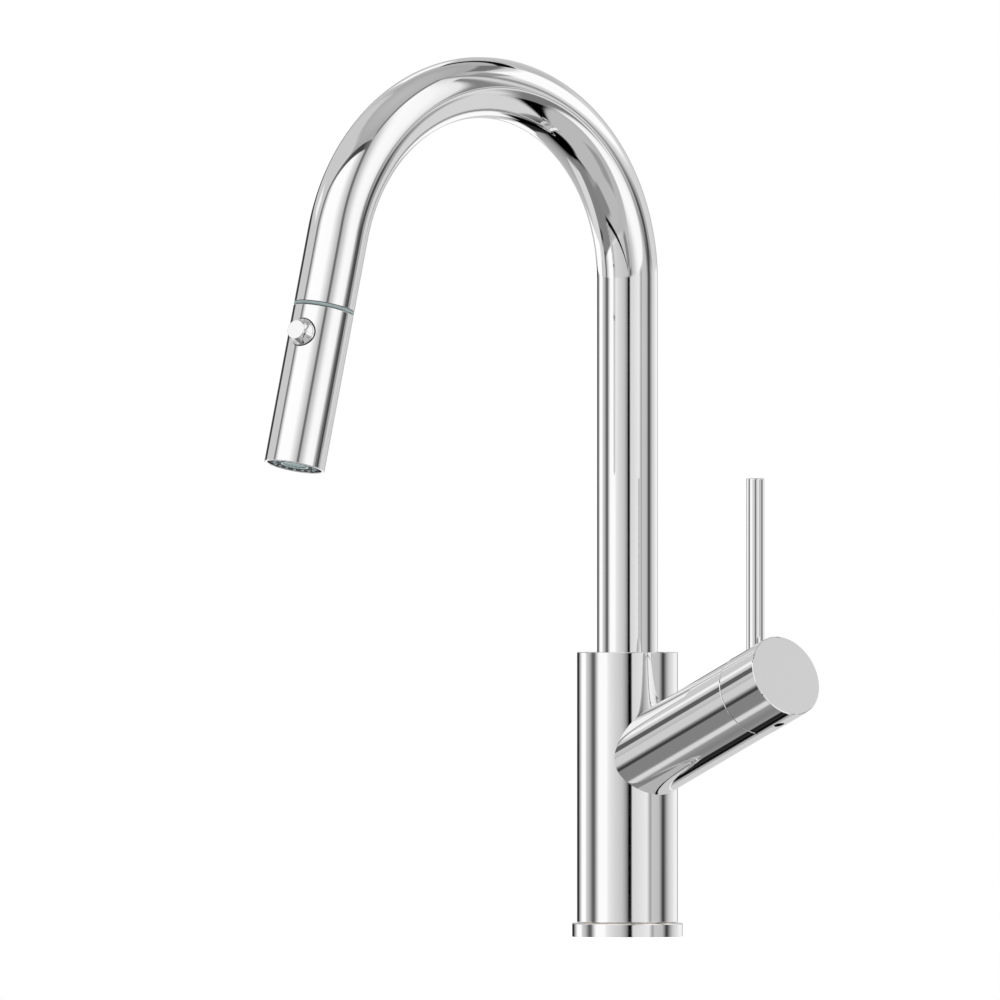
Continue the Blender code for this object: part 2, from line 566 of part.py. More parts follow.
def make_lever(lever):
    """The stem, its shield, and the cap with the pin lever that it carries."""
    stem_end = DISH + STEM_SOCKET - GAP
    ball = arc_points(BALL_RADIUS, -STEM_ARM, math.pi, math.asin(NECK_RADIUS / BALL_RADIUS), BALL_STEPS)
    taper = -STEM_ARM + 2 * BALL_RADIUS + STEM_TAPER
    stem = turned("lever_stem", ball + [
        (NECK_RADIUS, taper), (STEM_RADIUS, taper + STEM_TAPER), (STEM_RADIUS, stem_end - EDGE),
        (STEM_RADIUS - EDGE, stem_end), (0, stem_end),
    ], "steel", lever)
    past = 2 * STEM_RADIUS
    cut(stem, rod_cutter("stem_bore", PIVOT_PIN + GAP, -past, past, lever, across="Y"))
    start = math.asin((STEM_RADIUS + GAP) / (DOME_RADIUS + SHELL + RUN))
    reach = DOME_HOLE + LEVER_TILT
    shield = DOME_RADIUS + SHELL + RUN
    outer = arc_points(shield + SHELL, 0, start, reach, DOME_STEPS)
    inner = arc_points(shield, 0, reach, start, DOME_STEPS)
    turned("stem_shield", outer + inner, "chrome", lever, TUBE_SIDES)

    low, high = PIVOT_DEPTH + GAP, PIVOT_DEPTH + GAP + CAP_LENGTH
    socket = STEM_RADIUS + GAP
    top = math.asin(socket / DISH)
    dish = arc_points(DISH, 0, math.asin(LIP_RADIUS / DISH), top, BALL_STEPS)
    cap = turned("handle_cap", [
        (0, high), (CAP_RADIUS - EDGE, high), (CAP_RADIUS, high - EDGE), (CAP_RADIUS, low),
    ] + dish + [(socket, DISH + STEM_SOCKET), (0, DISH + STEM_SOCKET)], "chrome", lever, SIDES)
    grub = (0, 0, PIVOT_DEPTH + GRUB_PLACE)
    cut(cap, rod_cutter("grub_hole", GRUB_RADIUS + GAP, STEM_RADIUS, CAP_RADIUS + CUT_PAST, lever, grub, "X"))
    foot, end = STEM_RADIUS + GAP, STEM_RADIUS + GRUB_LENGTH
    screw = turned("grub_screw", [
        (0, foot), (GRUB_RADIUS, foot), (GRUB_RADIUS, end), (GRUB_SOCKET, end),
        (GRUB_SOCKET, end - GRUB_SOCKET_DEPTH), (0, end - GRUB_SOCKET_DEPTH),
    ], "steel", lever)
    screw.location = grub
    screw.rotation_euler = (0, math.radians(90), 0)
    make_pin(lever, cap)


def make_pin(lever, cap):
    """The upright pin lever, seated in a blind hole that stops short of the cap's hollow."""
    x = PIVOT.x - CAP_RADIUS * SIN + (PIVOT_DEPTH + PIN_FOOT) * COS
    seat_corner = x - PIN_RADIUS - GAP - PIVOT.x
    seat = PIVOT.z + math.sqrt((DISH + PIN_SEAT_WALL) ** 2 - seat_corner**2)
    upright = handle_matrix().inverted() @ Matrix.Translation((x, 0, seat))
    axis = frame("pin_axis", upright, lever)
    cut(cap, rod_cutter("pin_hole", PIN_RADIUS + GAP, 0, PIN_LENGTH, axis))
    turned("lever_pin", rod_outline(PIN_RADIUS, GAP, GAP + PIN_LENGTH, EDGE), "chrome", axis, TUBE_SIDES)


def make_hose_end(sliding):
    """The ferrule crimped on the hose, and the nipple that the head turns on."""
    low = TUBE_END - HOSE_END
    high = low + FERRULE_LENGTH
    turned("hose_ferrule", rod_outline(FERRULE_RADIUS, low, high, FERRULE_EDGE), "steel", sliding)
    turned("hose_nipple", [
        (NIPPLE_BORE, high + GAP), (NIPPLE_NECK, high + GAP), (NIPPLE_NECK, FLANGE_Z),
        (NIPPLE_FLANGE, FLANGE_Z), (NIPPLE_FLANGE, FLANGE_Z + FLANGE), (NIPPLE_BORE, FLANGE_Z + FLANGE),
    ], "brass", sliding)


def make_head(turning, pressing):
    """The spray head's shell and what leads the water through it."""
    low, high = HEAD_TOP, HEAD_TOP + HEAD_LENGTH
    shell = turned("spray_shell", [
        (HEAD_BORE, low), (TUBE_RADIUS - EDGE, low), (TUBE_RADIUS, low + EDGE), (TUBE_RADIUS, high - EDGE),
        (TUBE_RADIUS - EDGE, high), (HEAD_BORE, high),
    ], "chrome", turning, SIDES)
    hole = BUTTON_BASE + RUN
    cut(shell, rod_cutter("button_hole", hole, BUTTON_OPENING, BUTTON_FACE_Z, pressing))
    throat, recess = NIPPLE_NECK + GAP, NIPPLE_FLANGE + GAP
    turned("head_nut", [
        (throat, HEAD_NUT_Z), (HEAD_INSIDE, HEAD_NUT_Z), (HEAD_INSIDE, WATER_TOP - GAP),
        (recess, WATER_TOP - GAP), (recess, HEAD_NUT_Z + NUT_WALL), (throat, HEAD_NUT_Z + NUT_WALL),
    ], "white_plastic", turning, TUBE_SIDES)
    ring("nipple_seal", NIPPLE_BORE, NIPPLE_FLANGE, SEAL_Z, SEAL_Z + NIPPLE_SEAL, "rubber", turning)
    valve_bore = VALVE_RADIUS + GAP
    valve_floor = WATER_TOP + FILTER + GAP + VALVE_LENGTH + GAP
    chamber = AERATOR_RADIUS + GAP
    chamber_top = FACE_Z - AERATOR_LENGTH - GAP
    body = turned("waterway_body", [
        (WATER_BORE, valve_floor), (valve_bore, valve_floor), (valve_bore, WATER_TOP),
        (HEAD_INSIDE, WATER_TOP), (HEAD_INSIDE, WATER_BOTTOM), (chamber, WATER_BOTTOM),
        (chamber, chamber_top), (WATER_BORE, chamber_top),
    ], "white_plastic", turning, TUBE_SIDES)
    stem_reach = min(BUTTON_FOOT - BUTTON_SPOOL - BUTTON_TRAVEL - RUN, -SPRAY_PLACE - SPRAY_BORE / 2)
    spray_top, spray_end = BUTTON_Z - SPRAY_BORE / 2, WATER_BOTTOM + CUT_PAST
    spray_way = rod_cutter("spray_way", SPRAY_BORE, spray_top, spray_end, turning, (-SPRAY_PLACE, 0, 0))
    stem_way = BUTTON_STEM + RUN
    button_way = turned_cutter("button_way", [
        (0, stem_reach), (stem_way, stem_reach), (stem_way, POCKET_FLOOR), (hole, POCKET_FLOOR),
        (hole, TUBE_RADIUS), (0, TUBE_RADIUS),
    ], pressing)
    cut(body, button_way, spray_way)
    turned("inlet_filter", rod_outline(VALVE_RADIUS, WATER_TOP, WATER_TOP + FILTER), "steel", turning)
    valve_top = WATER_TOP + FILTER + GAP
    valve_outline = rod_outline(VALVE_RADIUS, valve_top, valve_top + VALVE_LENGTH)
    turned("check_valve", valve_outline, "dark_plastic", turning)


def nozzle_places():
    """Centres of the nozzles, evenly spaced round the face."""
    middle = (AERATOR_RADIUS + GAP + HEAD_INSIDE) / 2
    angles = (2 * math.pi * (k + 0.5) / NOZZLES for k in range(NOZZLES))
    return [(middle * math.cos(a), middle * math.sin(a), 0) for a in angles]


def make_face(turning):
    """The face plate with the silicone nozzles through it, and the aerator in its middle."""
    inner = AERATOR_RADIUS + GAP
    ring("face_seal", inner, HEAD_INSIDE, FACE_SEAL_Z, FACE_SEAL_Z + FACE_SEAL, "rubber", turning)
    plate = ring("face_plate", inner, HEAD_INSIDE, PLATE_Z, FACE_Z, "dark_plastic", turning, TUBE_SIDES)
    mat = ring("nozzle_mat", inner, HEAD_INSIDE, MAT_Z, MAT_Z + MAT, "silicone", turning, TUBE_SIDES)
    for number, place in enumerate(nozzle_places()):
        hole = rod_cutter(
            f"nozzle_hole_{number}", NOZZLE_RADIUS + GAP, MAT_Z, FACE_Z + CUT_PAST, turning, place,
            sides=TINY_SIDES,
        )
        nub = rod_cutter(
            f"nozzle_nub_{number}", NOZZLE_RADIUS, MAT_Z + MAT / 2, FACE_Z + NOZZLE_OUT, turning, place,
            sides=TINY_SIDES,
        )
        cut(plate, hole)
        combine(mat, nub, "UNION")
    top = FACE_Z - AERATOR_LENGTH
    bore = AERATOR_RADIUS - AERATOR_WALL
    ring("aerator_housing", bore, AERATOR_RADIUS, top, FACE_Z, "grey_plastic", turning, TUBE_SIDES)
    screen_low = FACE_Z - SCREEN_IN - SCREEN
    turned("aerator_screen", rod_outline(bore - GAP, screen_low, screen_low + SCREEN), "steel", turning)
    turned("aerator_insert", rod_outline(bore - GAP, top, top + INSERT), "white_plastic", turning)


def make_button(turning_axis, pressing):
    """The flared button with its stem, the stem's seal and the spring that pushes it out."""
    face = BUTTON_FACE_Z
    turned("button", [
        (0, face), (BUTTON_FACE - BUTTON_EDGE, face), (BUTTON_FACE, face - BUTTON_EDGE),
        (BUTTON_BASE, face - BUTTON_FLARE), (BUTTON_BASE, BUTTON_FOOT), (BUTTON_STEM, BUTTON_FOOT),
        (BUTTON_STEM, BUTTON_FOOT - BUTTON_SPOOL), (0, BUTTON_FOOT - BUTTON_SPOOL),
    ], "chrome", pressing, TUBE_SIDES)
    seal_low = POCKET_FLOOR + GAP
    seal_high = seal_low + BUTTON_SEAL
    ring("button_seal", BUTTON_STEM + RUN, BUTTON_BASE - RUN, seal_low, seal_high, "rubber", turning_axis)
    low, high = seal_high + GAP + SPRING_WIRE, BUTTON_FOOT - GAP - SPRING_WIRE
    steps = SPRING_TURNS * SPRING_STEPS
    coil = []
    for i in range(steps + 1):
        a = 2 * math.pi * SPRING_TURNS * i / steps
        height = low + (high - low) * i / steps
        coil.append((SPRING_RADIUS * math.cos(a), SPRING_RADIUS * math.sin(a), height))
    curve_tube("button_spring", coil, SPRING_WIRE, "steel", turning_axis, 1)


def handle_matrix():
    """The handle's frame: Z out along the branch, X to its underside, Y as the tap's."""
    axes = Matrix(((SIN, 0, COS), (0, 1, 0), (-COS, 0, SIN))).to_4x4()
    return Matrix.Translation(PIVOT) @ axes


def head_matrix():
    """The head's frame: origin at the end of the arch, Z along the head, X away from the body."""
    along = arc_end_direction()
    outward = Vector((0, along.z, -along.y))
    side = along.cross(outward)
    axes = Matrix((outward, side, along)).transposed().to_4x4()
    end = Vector((0, -ARC_RADIUS * (1 - math.cos(ARC_ANGLE)), ARC_START + ARC_RADIUS * math.sin(ARC_ANGLE)))
    return Matrix.Translation(end) @ axes


def main():
    clear_scene()
    tap = frame("tap", Matrix())
    handle = frame("handle_frame", handle_matrix(), tap)
    temperature = frame("temperature_axis", Matrix(), handle)
    disc_slide = frame("disc_slide", Matrix(), temperature)
    tilt = frame("tilt_axis", Matrix(), temperature)
    spout = frame("spout_axis", Matrix(), tap)
    head = frame("head_frame", head_matrix(), spout)
    pull = frame("pull_axis", Matrix(), head)
    head_turn = frame("head_turn_axis", Matrix.Rotation(-HEAD_TURN, 4, "Z"), pull)
    button_frame = Matrix.Translation((0, 0, BUTTON_Z)) @ Matrix.Rotation(math.radians(90), 4, "Y")
    button_seat = frame("button_seat", button_frame, head_turn)
    press = frame("button_axis", Matrix(), button_seat)

    make_base(tap)
    make_body(tap, handle)
    make_waterways(tap, handle)
    make_swivel(tap, spout)
    make_spout(spout, head)
    make_cartridge(handle)
    make_rotor(temperature)
    make_moving_disc(disc_slide)
    make_lever(tilt)
    make_hose_end(pull)
    make_head(head_turn, button_seat)
    make_face(head_turn)
    make_button(button_seat, press)


main()
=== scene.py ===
import json
import math

import bmesh
import bpy
from mathutils import Matrix, Vector


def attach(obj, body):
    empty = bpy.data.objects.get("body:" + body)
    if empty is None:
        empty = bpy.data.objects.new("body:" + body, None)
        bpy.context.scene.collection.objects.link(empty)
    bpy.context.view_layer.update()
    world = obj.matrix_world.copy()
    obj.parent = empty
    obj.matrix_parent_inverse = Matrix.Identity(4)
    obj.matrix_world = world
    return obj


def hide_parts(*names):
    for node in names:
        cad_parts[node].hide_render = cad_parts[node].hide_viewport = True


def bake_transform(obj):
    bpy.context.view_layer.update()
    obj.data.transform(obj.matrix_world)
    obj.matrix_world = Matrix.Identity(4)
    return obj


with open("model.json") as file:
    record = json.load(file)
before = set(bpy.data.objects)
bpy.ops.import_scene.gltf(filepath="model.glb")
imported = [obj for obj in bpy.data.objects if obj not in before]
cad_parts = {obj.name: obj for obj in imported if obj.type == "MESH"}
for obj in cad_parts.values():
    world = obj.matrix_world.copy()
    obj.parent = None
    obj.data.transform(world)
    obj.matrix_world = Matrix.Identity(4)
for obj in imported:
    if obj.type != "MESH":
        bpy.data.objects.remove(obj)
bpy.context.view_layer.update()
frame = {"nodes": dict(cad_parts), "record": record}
nodes = frame["nodes"]
print("frame loaded:", len(nodes), "nodes")

# the main lines that everything sits on, in metres
tap = {
    "tubeRadius": 0.015,
    "arcRadius": 0.095,
    "arcAngle": math.radians(166.26),
    "arcStart": 0.324031,
    "bodyRadius": 0.0249,
    "bodyTop": 0.140631,
    "branchAngle": math.radians(21.3),
    "pivot": Vector((0.076492, 0, 0.112423)),
    "pivotDepth": 0.020,      # pivot behind the split line of the branch
    "headTurn": math.radians(15),
}

arcAngle = tap["arcAngle"]
headAlong = Vector((0, -math.sin(arcAngle), math.cos(arcAngle)))
headOrigin = Vector((0, -tap["arcRadius"] * (1 - math.cos(arcAngle)),
                     tap["arcStart"] + tap["arcRadius"] * math.sin(arcAngle)))


def headMatrix():
    outward = Vector((0, headAlong.z, -headAlong.y))
    axes = Matrix((outward, headAlong.cross(outward), headAlong)).transposed().to_4x4()
    return Matrix.Translation(headOrigin) @ axes


def handleMatrix():
    s, c = math.sin(tap["branchAngle"]), math.cos(tap["branchAngle"])
    axes = Matrix(((s, 0, c), (0, 1, 0), (-c, 0, s))).to_4x4()
    return Matrix.Translation(tap["pivot"]) @ axes


alongHead = headMatrix()
turnedHead = alongHead @ Matrix.Rotation(-tap["headTurn"], 4, "Z")
alongHandle = handleMatrix()
upright = Matrix.Identity(4)


def addGroup(name, inputs, outputs):
    group = bpy.data.node_groups.new(name, "ShaderNodeTree")
    for label, kind, value in inputs:
        socket = group.interface.new_socket(label, in_out="INPUT", socket_type=kind)
        if value is not None:
            socket.default_value = value
    for label, kind in outputs:
        group.interface.new_socket(label, in_out="OUTPUT", socket_type=kind)
    return group, group.nodes.new("NodeGroupInput"), group.nodes.new("NodeGroupOutput")


def mathNode(tree, operation, a, b=None, c=None):
    node = tree.nodes.new("ShaderNodeMath")
    node.operation = operation
    for socket, value in zip(node.inputs, (a, b, c)):
        if isinstance(value, (int, float)):
            socket.default_value = value
        elif value is not None:
            tree.links.new(value, socket)
    return node.outputs[0]


def surfaceGrain():
    # two sizes of noise: a broad one for tone and polish, a fine one for the height
    group, into, out = addGroup("surfaceGrain", [
        ("Broad", "NodeSocketFloat", 40.0),
        ("Fine", "NodeSocketFloat", 900.0),
        ("Low", "NodeSocketFloat", 0.2),
        ("High", "NodeSocketFloat", 0.4),
    ], [("Tone", "NodeSocketFloat"), ("Roughness", "NodeSocketFloat"), ("Height", "NodeSocketFloat")])
    links = group.links
    coords = group.nodes.new("ShaderNodeTexCoord")
    broad = group.nodes.new("ShaderNodeTexNoise")
    broad.inputs["Detail"].default_value = 5.0
    fine = group.nodes.new("ShaderNodeTexNoise")
    fine.inputs["Detail"].default_value = 3.0
    for noise, label in ((broad, "Broad"), (fine, "Fine")):
        links.new(coords.outputs["Object"], noise.inputs["Vector"])
        links.new(into.outputs[label], noise.inputs["Scale"])
    ranged = group.nodes.new("ShaderNodeMapRange")
    ranged.inputs["From Min"].default_value = 0.35
    ranged.inputs["From Max"].default_value = 0.65
    links.new(broad.outputs["Fac"], ranged.inputs["Value"])
    links.new(into.outputs["Low"], ranged.inputs["To Min"])
    links.new(into.outputs["High"], ranged.inputs["To Max"])
    links.new(broad.outputs["Fac"], out.inputs["Tone"])
    links.new(ranged.outputs["Result"], out.inputs["Roughness"])
    links.new(fine.outputs["Fac"], out.inputs["Height"])
    return group


def fineScratches():
    # thin streaks in all directions from a stretched noise, seen only as a change of polish
    group, into, out = addGroup("fineScratches", [
        ("Scale", "NodeSocketFloat", 60.0),
        ("Amount", "NodeSocketFloat", 0.03),
    ], [("Roughness", "NodeSocketFloat")])
    links = group.links
    coords = group.nodes.new("ShaderNodeTexCoord")
    total = None
    for turn in ((0.3, 0.1, 0.4), (1.2, 0.7, 2.0), (2.2, 1.9, 0.9)):
        mapping = group.nodes.new("ShaderNodeMapping")
        mapping.inputs["Rotation"].default_value = turn
        mapping.inputs["Scale"].default_value = (1.0, 14.0, 14.0)
        noise = group.nodes.new("ShaderNodeTexNoise")
        noise.inputs["Detail"].default_value = 2.0
        links.new(coords.outputs["Object"], mapping.inputs["Vector"])
        links.new(mapping.outputs["Vector"], noise.inputs["Vector"])
        links.new(into.outputs["Scale"], noise.inputs["Scale"])
        streak = mathNode(group, "GREATER_THAN", noise.outputs["Fac"], 0.68)
        total = streak if total is None else mathNode(group, "MAXIMUM", total, streak)
    links.new(mathNode(group, "MULTIPLY", total, into.outputs["Amount"]), out.inputs["Roughness"])
    return group


grainGroup = surfaceGrain()
scratchGroup = fineScratches()
print("shader groups ready")


def placeGroup(tree, group, **values):
    node = tree.nodes.new("ShaderNodeGroup")
    node.node_tree = group
    for label, value in values.items():
        node.inputs[label].default_value = value
    return node


finishes = {
    "chrome": {"dark": (0.87, 0.87, 0.87), "light": (0.905, 0.905, 0.905), "metal": 1.0, "broad": 30,
               "fine": 500, "low": 0.02, "high": 0.045, "bump": 0.02, "scratch": 0.02},
    "brass": {"dark": (0.56, 0.4, 0.18), "light": (0.74, 0.57, 0.3), "metal": 1.0, "broad": 90,
              "fine": 1500, "low": 0.22, "high": 0.42, "bump": 0.12, "scratch": 0.12},
    "steel": {"dark": (0.46, 0.47, 0.48), "light": (0.62, 0.63, 0.64), "metal": 1.0, "broad": 120,
              "fine": 2500, "low": 0.22, "high": 0.38, "bump": 0.1, "scratch": 0.1},
    "rubber": {"dark": (0.02, 0.02, 0.021), "light": (0.045, 0.045, 0.046), "metal": 0.0, "broad": 150,
               "fine": 2600, "low": 0.62, "high": 0.85, "bump": 0.35, "scratch": 0.0},
    "ceramic": {"dark": (0.8, 0.79, 0.76), "light": (0.88, 0.87, 0.85), "metal": 0.0, "broad": 200,
                "fine": 3000, "low": 0.15, "high": 0.3, "bump": 0.05, "scratch": 0.0},
    "grey_plastic": {"dark": (0.25, 0.31, 0.31), "light": (0.35, 0.42, 0.42), "metal": 0.0, "broad": 300,
                     "fine": 3200, "low": 0.38, "high": 0.52, "bump": 0.12, "scratch": 0.0},
    "white_plastic": {"dark": (0.68, 0.68, 0.66), "light": (0.8, 0.8, 0.78), "metal": 0.0, "broad": 160,
                      "fine": 2800, "low": 0.32, "high": 0.46, "bump": 0.1, "scratch": 0.0},
    "dark_plastic": {"dark": (0.028, 0.034, 0.034), "light": (0.055, 0.064, 0.063), "metal": 0.0,
                     "broad": 220, "fine": 3200, "low": 0.55, "high": 0.7, "bump": 0.15, "scratch": 0.0,
                     "shine": 0.06},
    "silicone": {"dark": (0.2, 0.235, 0.24), "light": (0.3, 0.34, 0.345), "metal": 0.0, "broad": 260,
                 "fine": 2600, "low": 0.55, "high": 0.7, "bump": 0.18, "scratch": 0.0, "shine": 0.12},
}


bumpDistance = 0.0001


def mixColour(tree, factor, first, second):
    # each of the two is a plain colour or the output of a node
    mix = tree.nodes.new("ShaderNodeMix")
    mix.data_type = "RGBA"
    tree.links.new(factor, mix.inputs["Factor"])
    for label, value in (("A", first), ("B", second)):
        if isinstance(value, tuple):
            mix.inputs[label].default_value = (*value, 1)
        else:
            tree.links.new(value, mix.inputs[label])
    return mix.outputs["Result"]


def startMaterial(name):
    material = bpy.data.materials.new(name)
    material.use_nodes = True
    return material, material.node_tree, material.node_tree.nodes["Principled BSDF"]


def addBump(tree, shader, height, strength, distance):
    bump = tree.nodes.new("ShaderNodeBump")
    bump.inputs["Strength"].default_value = strength
    bump.inputs["Distance"].default_value = distance
    tree.links.new(height, bump.inputs["Height"])
    tree.links.new(bump.outputs["Normal"], shader.inputs["Normal"])


def makeMaterial(name, look):
    material, tree, shader = startMaterial(name)
    shader.inputs["Metallic"].default_value = look["metal"]
    shader.inputs["Specular IOR Level"].default_value = look.get("shine", 0.5)
    grain = placeGroup(tree, grainGroup, Broad=look["broad"], Fine=look["fine"], Low=look["low"],
                       High=look["high"])
    colour = mixColour(tree, grain.outputs["Tone"], look["dark"], look["light"])
    tree.links.new(colour, shader.inputs["Base Color"])
    roughness = grain.outputs["Roughness"]
    if look["scratch"]:
        scratches = placeGroup(tree, scratchGroup, Scale=60.0, Amount=look["scratch"])
        roughness = mathNode(tree, "ADD", roughness, scratches.outputs["Roughness"])
    tree.links.new(roughness, shader.inputs["Roughness"])
    addBump(tree, shader, grain.outputs["Height"], look["bump"], bumpDistance)
    return material


materials = {name: makeMaterial(name, look) for name, look in finishes.items()}


braid = {"strands": 10, "lay": 2880.0, "dark": (0.02, 0.021, 0.022), "light": (0.17, 0.175, 0.18),
         "broad": 200.0, "fine": 2000.0, "low": 0.35, "high": 0.55, "bump": 0.7, "distance": 0.0004}


def braidMaterial():
    # crossing helical strands: the angle round the hose is kept on its points, the length is its height
    material, tree, shader = startMaterial("hose_braid")
    around = tree.nodes.new("ShaderNodeAttribute")
    around.attribute_name = "around"
    parts = tree.nodes.new("ShaderNodeSeparateXYZ")
    tree.links.new(around.outputs["Vector"], parts.inputs[0])
    angle = mathNode(tree, "ARCTAN2", parts.outputs["Y"], parts.outputs["X"])
    coords = tree.nodes.new("ShaderNodeTexCoord")
    place = tree.nodes.new("ShaderNodeSeparateXYZ")
    tree.links.new(coords.outputs["Object"], place.inputs[0])
    turn = mathNode(tree, "MULTIPLY", angle, braid["strands"])
    rise = mathNode(tree, "MULTIPLY", place.outputs["Z"], braid["lay"])
    left = mathNode(tree, "SINE", mathNode(tree, "ADD", turn, rise))
    right = mathNode(tree, "SINE", mathNode(tree, "SUBTRACT", turn, rise))
    weave = mathNode(tree, "MULTIPLY", left, right)
    height = mathNode(tree, "MULTIPLY_ADD", weave, 0.5, 0.5)
    tree.links.new(mixColour(tree, height, braid["dark"], braid["light"]), shader.inputs["Base Color"])
    grain = placeGroup(tree, grainGroup, Broad=braid["broad"], Fine=braid["fine"], Low=braid["low"],
                       High=braid["high"])
    tree.links.new(grain.outputs["Roughness"], shader.inputs["Roughness"])
    addBump(tree, shader, height, braid["bump"], braid["distance"])
    return material


materials["hose_braid"] = braidMaterial()
slotOf = {part["node"]: part["material_slot"] for part in frame["record"]["subparts"]}
for name, node in nodes.items():
    node.data.materials.clear()
    node.data.materials.append(materials[slotOf[name]])
print("materials on all frame nodes")


def lathe(outline, steps=128):
    # spins points (distance from Z, height) into a closed body
    bm = bmesh.new()
    points = [bm.verts.new((r, 0, z)) for r, z in outline]
    lines = [bm.edges.new(pair) for pair in zip(points, points[1:])]
    if outline[0][0] > 0:
        lines.append(bm.edges.new((points[-1], points[0])))
    bmesh.ops.spin(bm, geom=points + lines, cent=(0, 0, 0), axis=(0, 0, 1),
                   angle=2 * math.pi, steps=steps, use_merge=True)
    bmesh.ops.remove_doubles(bm, verts=bm.verts, dist=1e-7)
    bmesh.ops.recalc_face_normals(bm, faces=bm.faces)
    return bm


def softenEdges(bm, width, segments=3, over=25):
    sharp = [e for e in bm.edges if len(e.link_faces) == 2 and e.calc_face_angle() > math.radians(over)]
    bmesh.ops.bevel(bm, geom=sharp, offset=width, offset_type="OFFSET", affect="EDGES",
                    segments=segments, profile=0.5, material=-1, clamp_overlap=True)
    return bm


def toMesh(name, bm):
    mesh = bpy.data.meshes.new(name)
    bm.to_mesh(mesh)
    bm.free()
    return mesh


def addObject(name, data):
    obj = bpy.data.objects.new(name, data)
    bpy.context.scene.collection.objects.link(obj)
    return obj


def addPiece(name, bm, slotName, body, place=upright, replaced=(), over=30, weighted=True):
    bmesh.ops.transform(bm, matrix=place, verts=bm.verts)
    piece = addObject(name, toMesh(name, bm))
    piece.data.materials.append(materials[slotName])
    shadePiece(piece, over, weighted)
    if body:
        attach(piece, body)
    if replaced:
        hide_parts(*replaced)
    return piece


def shadePiece(piece, over=30, weighted=True):
    piece.data.shade_smooth()
    piece.data.set_sharp_from_angle(angle=math.radians(over))
    if weighted:
        keep = piece.modifiers.new("evenNormals", "WEIGHTED_NORMAL")
        keep.keep_sharp = True


def carve(bm, cutter, operation="DIFFERENCE"):
    # one exact Boolean, taken back into a bmesh
    carved = addObject("carved", toMesh("carved", bm))
    tool = addObject("cutter", toMesh("cutter", cutter))
    modifier = carved.modifiers.new("carve", "BOOLEAN")
    modifier.object = tool
    modifier.operation = operation
    modifier.solver = "EXACT"
    bpy.context.view_layer.update()
    solved = carved.evaluated_get(bpy.context.evaluated_depsgraph_get())
    result = bpy.data.meshes.new_from_object(solved)
    made = bmesh.new()
    made.from_mesh(result)
    for obj in (carved, tool):
        mesh = obj.data
        bpy.data.objects.remove(obj)
        bpy.data.meshes.remove(mesh)
    bpy.data.meshes.remove(result)
    return made


def ring(inner, outer, low, high, steps=96):
    return lathe([(inner, low), (outer, low), (outer, high), (inner, high)], steps)


def rod(radius, low, high, steps=96):
    return ring(0, radius, low, high, steps)


def arc(radius, start, end, steps):
    # points on a ball about the origin, by their angle from Z
    angles = (start + (end - start) * i / steps for i in range(steps + 1))
    return [(radius * math.sin(a), radius * math.cos(a)) for a in angles]


def moved(bm, matrix):
    bmesh.ops.transform(bm, matrix=matrix, verts=bm.verts)
    return bm


base = {"outer": 0.0274, "height": 0.0068, "bevel": 0.0008, "bore": 0.0221, "groove": (0.02335, 0.02615),
        "depth": 0.0019, "rimFrom": 0.027}
gasket = {"inner": 0.02365, "outer": 0.02585, "height": 0.0016, "edge": 0.0003}


def makeBase():
    inner, outer = base["groove"]
    outline = [(base["bore"], 0), (inner, 0), (inner, base["depth"]), (outer, base["depth"]), (outer, 0),
               (base["outer"], 0), (base["outer"], base["height"]), (base["bore"], base["height"])]
    bm = lathe(outline, 192)
    top = [e for e in bm.edges if all(abs(v.co.z - base["height"]) < 1e-6
                                      and v.co.xy.length > base["rimFrom"] for v in e.verts)]
    bmesh.ops.bevel(bm, geom=top, offset=base["bevel"], offset_type="OFFSET", affect="EDGES",
                    segments=4, profile=0.5, material=-1)
    addPiece("baseRing", bm, "chrome", "body", replaced=["base_ring"])
    seal = ring(gasket["inner"], gasket["outer"], 0, gasket["height"])
    softenEdges(seal, gasket["edge"], 3)
    addPiece("baseGasket", seal, "rubber", "body", replaced=["base_gasket"])


body = {"low": 0.0071, "edge": 0.0004, "bore": 0.0221, "lip": 0.004, "tubeGap": 0.0003, "mouth": 0.02,
        "branch": 0.02055, "branchLow": -0.0821, "branchBore": 0.0182, "boreDepth": 0.0725, "reach": 0.0282,
        "rimSteps": 8, "past": 0.01}


def makeBody():
    r, top = tap["bodyRadius"], tap["bodyTop"]
    trunk = rod(r, body["low"], top, 256)
    softenEdges(trunk, body["edge"], 3)
    depth = tap["pivotDepth"]
    # the branch's open rim leans in behind the cap, so that the cap can tilt over it
    shoulder = math.sqrt(body["reach"]**2 - body["branch"]**2)
    rim = arc(body["reach"], math.atan2(body["branch"], shoulder), math.acos(depth / body["reach"]),
              body["rimSteps"])
    branch = lathe([(0, body["branchLow"]), (body["branch"], body["branchLow"])] + rim + [(0, depth)], 256)
    bm = carve(trunk, moved(branch, alongHandle), "UNION")
    bm = carve(bm, rod(body["bore"], 0, top - body["lip"], 128))
    bm = carve(bm, rod(tap["tubeRadius"] + body["tubeGap"], top - body["mouth"], top + body["past"], 128))
    bore = rod(body["branchBore"], -body["boreDepth"], depth + body["past"], 128)
    bm = carve(bm, moved(bore, alongHandle))
    addPiece("bodyShell", bm, "chrome", "body", replaced=["body_shell"], over=20)


makeBase()
makeBody()
print("base and body")


def drawOut(bm, edges, shift, steps=1):
    for _ in range(steps):
        made = bmesh.ops.extrude_edge_only(bm, edges=edges)["geom"]
        points = [g for g in made if isinstance(g, bmesh.types.BMVert)]
        bmesh.ops.translate(bm, verts=points, vec=shift / steps)
        edges = [g for g in made if isinstance(g, bmesh.types.BMEdge)]
    return edges


